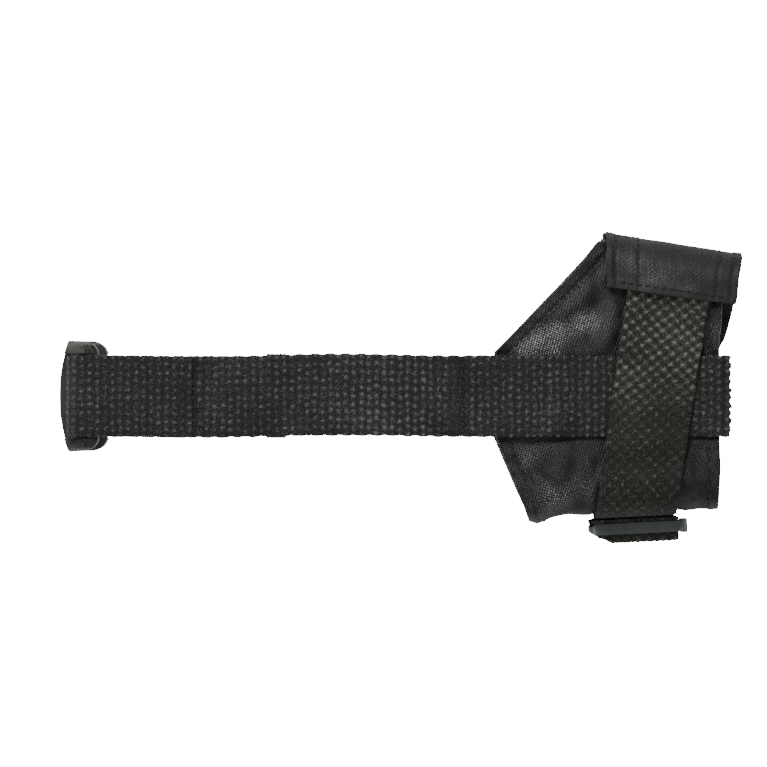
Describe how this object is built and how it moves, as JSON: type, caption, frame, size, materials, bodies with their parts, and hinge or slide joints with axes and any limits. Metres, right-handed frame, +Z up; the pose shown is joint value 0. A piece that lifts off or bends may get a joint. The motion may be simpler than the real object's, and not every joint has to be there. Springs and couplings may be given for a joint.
{
  "type": "fabric dog muzzle",
  "caption": "Soft open-ended nylon dog muzzle with a webbing nose band, an adjustable snout strap and a neck strap with a side-release buckle, lying on its side.",
  "frame": {"origin": "middle of the whole in X and Y, at the underside it lies on", "axes": "+X from the neck buckle to the nose, +Y from the chin to the bridge of the nose, +Z up from the flank that lies on the table"},
  "size_m": [0.2086, 0.096, 0.0582],
  "materials": {
    "shell_cloth": "woven nylon, half gloss",
    "lining_cloth": "matt woven lining",
    "sleeve_cloth": "woven nylon, half gloss",
    "neck_webbing": "coarse ribbed webbing",
    "snout_webbing": "coarse ribbed webbing",
    "elastic": "ribbed elastic",
    "buckle_plastic": "satin moulded acetal",
    "slider_plastic": "satin moulded acetal",
    "thread": "sewing thread"
  },
  "bodies": {
    "muzzle": {"side_panel_upper": "shell_cloth", "side_panel_lower": "shell_cloth", "bridge_panel": "shell_cloth", "chin_panel": "shell_cloth", "cup_lining": "lining_cloth", "bridge_sleeve": "sleeve_cloth", "nose_band": "neck_webbing", "snout_strap": "snout_webbing", "snout_strap_tail": "snout_webbing", "neck_strap_upper_seam": "neck_webbing", "neck_strap_lower": "neck_webbing", "buckle_male": "buckle_plastic", "sleeve_stitches": "thread", "band_stitches": "thread"},
    "socket": {"buckle_female": "buckle_plastic", "buckle_strap_loop": "neck_webbing"},
    "upper_strap": {"neck_strap_upper": "neck_webbing", "neck_strap_upper_end": "neck_webbing", "strap_end_stitches": "thread"},
    "bridge_side_latch": {"latch_arm_bridge_side": "buckle_plastic"},
    "chin_side_latch": {"latch_arm_chin_side": "buckle_plastic"},
    "strap_slider": {"snout_slider": "slider_plastic", "slider_bar_loop": "snout_webbing", "snout_strap_rider": "snout_webbing"},
    "keeper": {"strap_keeper": "elastic"}
  },
  "joints": [
    {"name": "buckle_release", "type": "slide", "parent": "muzzle", "child": "socket", "axis": [0, 0, 1], "range_m": [0, 0.03], "deforming": ["latch_arm_bridge_side", "latch_arm_chin_side"]},
    {"name": "strap_lift", "type": "hinge", "parent": "muzzle", "child": "upper_strap", "pos_m": [0.0188, -0.00228, 0.0558], "axis": [0, 1, 0], "range_deg": [0, 16]},
    {"name": "bridge_side_squeeze", "type": "hinge", "parent": "muzzle", "child": "bridge_side_latch", "pos_m": [-0.0983, 0.00722, 0.0165], "axis": [1, 0, 0], "range_deg": [0, 10], "stiffness_Nm_per_rad": 0.3},
    {"name": "chin_side_squeeze", "type": "hinge", "parent": "muzzle", "child": "chin_side_latch", "pos_m": [-0.0983, -0.01178, 0.0165], "axis": [-1, 0, 0], "range_deg": [0, 10], "stiffness_Nm_per_rad": 0.3},
    {"name": "snout_adjust", "type": "slide", "parent": "muzzle", "child": "strap_slider", "axis": [0, 0, 1], "range_m": [-0.0035, 0.0075]},
    {"name": "keeper_slide", "type": "slide", "parent": "muzzle", "child": "keeper", "axis": [1, 0, 0], "range_m": [-0.042, 0.006]}
  ],
  "couplings": [
    {"joint": "strap_lift", "follows": "buckle_release", "rad_per_m": 9.242}
  ]
}
